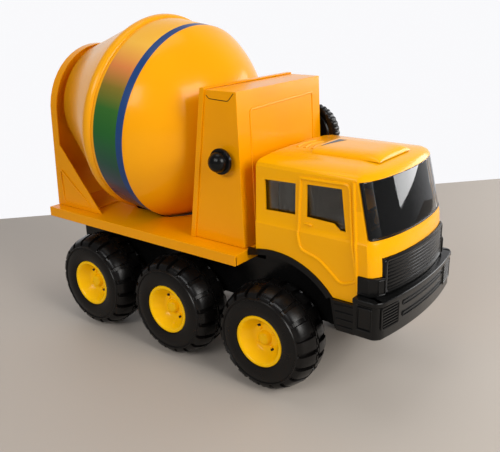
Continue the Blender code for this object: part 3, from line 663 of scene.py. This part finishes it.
for z in BUMPER_SLOTS:
    outline = front_rectangle(-SLOT_HALF_WIDE, SLOT_HALF_WIDE, z - SLOT_HALF_HIGH,
                              z + SLOT_HALF_HIGH, 1.2, *FACE)
    parts.append(ridge(*outline, 1.1, 0.55, closed=True))
finish("bumper_ridges", *joined(parts), black, "truck", slot="black_plastic")

# ------------------------------------------------------------------ wheels
# Yellow plastic rims hold black tyres with a chunky tread: twenty blocks a side, the inner
# ones half a step on, and a notched ridge between them.
rubber, shader, place = material("tyre_rubber", (0.0035, 0.003, 0.0028), 0.3, shine=0.22)
feed(shader, "Roughness", place.noise(120.0) * 0.16 + 0.22)
ripple(shader, place.noise(500.0), 0.03 * MM)
rim_plastic = glossy("rim_plastic", (0.98, 0.55, 0.0), (0.94, 0.50, 0.0), 0.22, 0.06, shine=0.16)
BLOCKS = 20
AROUND = [0.0, 0.15, 0.18, 0.35, 0.38, 0.62, 0.65, 0.82, 0.85]    # shares of a block's pitch
GROOVE_OUT, GROOVE_IN, NOTCH = 1, 2, 3
TYRE_ROWS = [    # radius, height out of the wheel's middle, its groove, depth inward and sideways
    (25.8, 19.9, 0, 0, 0), (27.2, 20.5, 0, 0, 0), (33, 21.3, 0, 0, 0), (38, 20.9, 0, 0, 0),
    (40.4, 20.2, 0, 0, 0), (40.9, 21.0, 0, 0, 0), (41.8, 21.0, 0, 0, 0), (42.3, 20.0, 0, 0, 0),
    (42.8, 19.9, 0, 0, 0), (43.2, 19.8, 1, 0, 1.7), (45.2, 19.2, 1, 0.8, 2.0),
    (46.9, 17.9, 1, 2.2, 1.6), (48.2, 15.6, 1, 3.2, 0.6), (49.4, 12.5, 1, 3.2, 0),
    (50.5, 9, 1, 3.2, 0), (51.2, 5, 1, 3.2, 0), (51.6, 2.6, 1, 3.2, 0), (51.6, 2.3, 0, 0, 0),
    (50.5, 2.2, 0, 0, 0), (50.5, 1.1, 0, 0, 0), (52, 0.8, 3, 0.9, 0), (52, -0.8, 3, 0.9, 0),
    (50.5, -1.1, 0, 0, 0), (50.5, -2.2, 0, 0, 0), (51.6, -2.3, 0, 0, 0), (51.6, -2.6, 2, 3.4, 0),
    (51.4, -5, 2, 3.4, 0), (51.0, -10, 2, 3.4, 0), (49.9, -14, 2, 3.4, 0), (48.2, -18.4, 2, 3.0, 0),
    (47.4, -19.2, 2, 1.0, 0), (44, -19.7, 0, 0, 0), (38, -20, 0, 0, 0), (25.8, -17.5, 0, 0, 0)]
RIM = [(-18.0, 25.4), (18.6, 25.4), (19.6, 25.0), (20.0, 24.2), (19.9, 22.8), (19.3, 21.8),
       (17.4, 20.8), (12.8, 17.0), (9.2, 14.4), (8.0, 12.8), (7.8, 10.0), (8.4, 7.0), (12.2, 5.9),
       (13.0, 5.0), (13.4, 3.0), (13.5, 0)]
BOSS, HOLE_SHADE_DISC = [(0, 1.7), (1.8, 1.5), (2.3, 0.9), (2.4, 0)], [(0, 2.0), (0.6, 1.9), (0.6, 0)]
BOSS_AT, BOSS_FOOT, HOLE_AT, HOLE_FOOT, HOLE_TURN = 10.3, 7.6, 13.2, 8.3, 125
AXLES = (("front", 0.0, 0.15), ("middle", -115.8, 0.05), ("rear", -231.6, 0.4))    # x, radians rolled
WHEEL_Y, WHEEL_Z = 73.0, 52.0


def tyre(middle, out, roll):
    """A turned tyre, middle + (r - d c)(cos a, sin a) + (h - e c) out, where c marks a groove."""
    share = np.tile(AROUND, BLOCKS)
    a = (np.repeat(np.arange(BLOCKS), len(AROUND)) + share) * 2 * np.pi / BLOCKS + roll
    r, h, kind, deep, sideways = np.array(TYRE_ROWS).T[:, :, None]
    between = np.abs(share - 0.5)         # how far round from the middle of a block
    cut = np.select([kind == GROOVE_OUT, kind == GROOVE_IN, kind == NOTCH],
                    [between < 0.13, between > 0.34, (between > 0.14) & (between < 0.33)], 0)
    r, h = r - deep * cut, h - sideways * cut
    return grid(middle + r[..., None] * np.stack([np.cos(a), 0 * a, np.sin(a)], -1)
                + h[..., None] * out, True, True)


def spots(profile, middle, out, reach, lift, turns):
    """Small turned pieces on the rim, at a reach from its middle and at several turns."""
    places = [middle + reach * np.array([math.cos(t), 0, math.sin(t)]) + lift * out for t in turns]
    return [turned(profile, place, out, UP, 20) for place in places]


for where, x, roll in AXLES:
    for side, sign in SIDES:
        out = np.array([0, float(sign), 0])
        middle = np.array([x, sign * WHEEL_Y, WHEEL_Z])
        body = f"wheel_{where}_{side}"
        finish(f"tread_{where}_{side}", *tyre(middle, out, roll), rubber, body,
               [f"tyre_{where}_{side}"], "tyre_black", smooth=25)
        quarters = [roll * sign + (quarter + 0.5) * math.pi / 2 for quarter in range(4)]
        bosses = spots(BOSS, middle, out, BOSS_AT, BOSS_FOOT, quarters)
        finish(f"rim_{where}_{side}_dish", *joined([turned(RIM, middle, out, UP, 96)] + bosses),
               rim_plastic, body, [f"rim_{where}_{side}"], "rim_yellow", smooth=40)
        # The rim's two holes are thin black discs just proud of the dish: painted shade for the
        # openings.
        first = math.radians(HOLE_TURN if sign < 0 else 180 - HOLE_TURN)
        hole_shade_discs = spots(HOLE_SHADE_DISC, middle, out, HOLE_AT, HOLE_FOOT, (first, first + math.pi))
        finish(f"rim_{where}_{side}_holes", *joined(hole_shade_discs), black, body)
